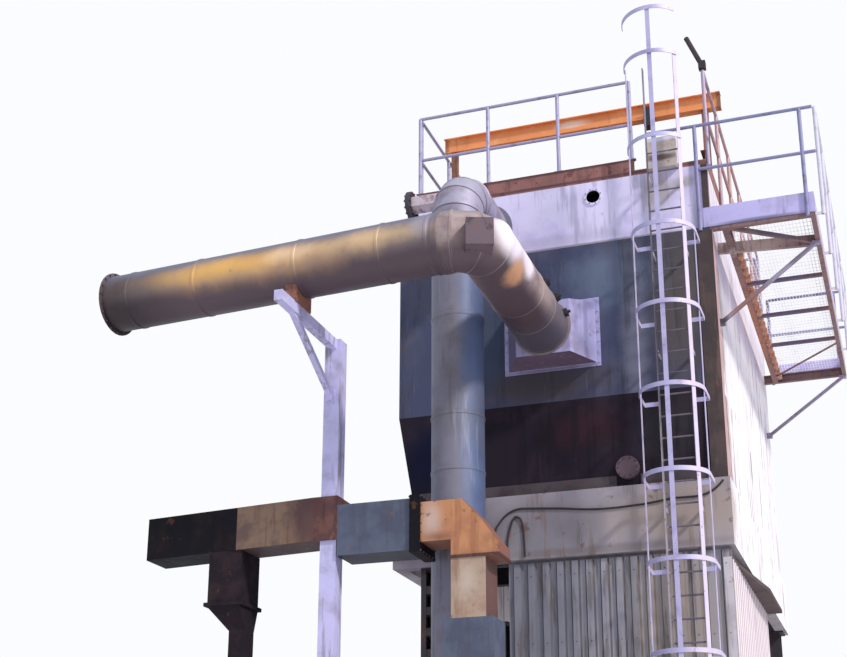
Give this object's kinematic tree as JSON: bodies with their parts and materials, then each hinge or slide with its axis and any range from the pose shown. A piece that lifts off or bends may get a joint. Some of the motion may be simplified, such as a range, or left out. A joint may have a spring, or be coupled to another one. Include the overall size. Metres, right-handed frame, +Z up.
{
  "type": "catalytic ceramic filter unit",
  "caption": "Raised steel catalytic filter housing on a column base, with round and rectangular ducts, caged ladder, side platform and railed roof.",
  "frame": {"origin": "on the ground under the middle of the whole outline", "axes": "+Z up, +Y from the front face to the back, +X to the right of the front face"},
  "size_m": [7.4392, 8.9208, 11.6026],
  "materials": {
    "brown_duct": "brown primer",
    "cladding": "profiled sheet, faded",
    "cream_band": "cream paint with rust runs",
    "dark_casing": "dark blue-grey paint with brown patches",
    "dark_hopper": "dark brown, rusted",
    "dark_steel": "dark weathered steel",
    "galvanised": "weathered zinc",
    "grey_duct": "dull zinc duct sheet",
    "lilac_post": "pale grey paint",
    "ochre_duct": "heat-stained duct sheet",
    "orange_paint": "orange paint, rubbed",
    "pale_panel": "pale panel with stains",
    "red_joint": "dark red primer",
    "rusty_steel": "rusty steel",
    "slate_duct": "slate grey paint",
    "white_hood": "white sheet"
  },
  "bodies": {
    "root": {"band_cables": "dark_steel", "base_columns": "dark_steel", "battened_column": "dark_steel", "blanking_plate": "dark_hopper", "cage_hoops": "galvanised", "cage_straps": "galvanised", "canopy": "dark_steel", "casing": "dark_casing", "corner_post": "dark_hopper", "corner_strip": "white_hood", "drop_branch": "red_joint", "duct_bracket": "lilac_post", "duct_post": "lilac_post", "duct_saddle": "lilac_post", "enclosure_front": "cladding", "enclosure_sides": "cladding", "floor_beams": "dark_steel", "hoist_trolley": "dark_steel", "hood": "white_hood", "hopper": "dark_hopper", "inlet_duct": "ochre_duct", "inlet_elbow": "ochre_duct", "inlet_flange": "ochre_duct", "inlet_mouth": "ochre_duct", "inspection_hatch": "dark_steel", "knee_braces": "rusty_steel", "ladder": "galvanised", "ladder_brackets": "galvanised", "lifting_beam": "orange_paint", "lifting_beam_posts": "rusty_steel", "low_duct_brown": "brown_duct", "low_duct_collar": "red_joint", "low_duct_dark": "dark_steel", "low_duct_elbow": "orange_paint", "low_duct_flange": "dark_steel", "low_duct_foot": "slate_duct", "low_duct_leg": "orange_paint", "low_duct_mouth": "dark_steel", "low_duct_slate": "slate_duct", "outlet_elbow": "grey_duct", "outlet_pipe": "grey_duct", "outlet_stub": "grey_duct", "platform_frame": "rusty_steel", "platform_grating": "galvanised", "platform_rail_back": "galvanised", "platform_rail_front": "galvanised", "platform_rail_outer": "galvanised", "plenum": "pale_panel", "ring_beam_front": "cream_band", "ring_beam_sides": "cream_band", "roof_deck": "rusty_steel", "roof_edge_front_left": "rusty_steel", "roof_edge_front_right": "rusty_steel", "roof_edge_sides": "rusty_steel", "roof_rail_back": "galvanised", "roof_rail_front": "galvanised", "roof_rail_sides": "galvanised", "safety_gate": "rusty_steel", "terminal_box": "pale_panel", "toe_boards": "galvanised"}
  },
  "joints": []
}
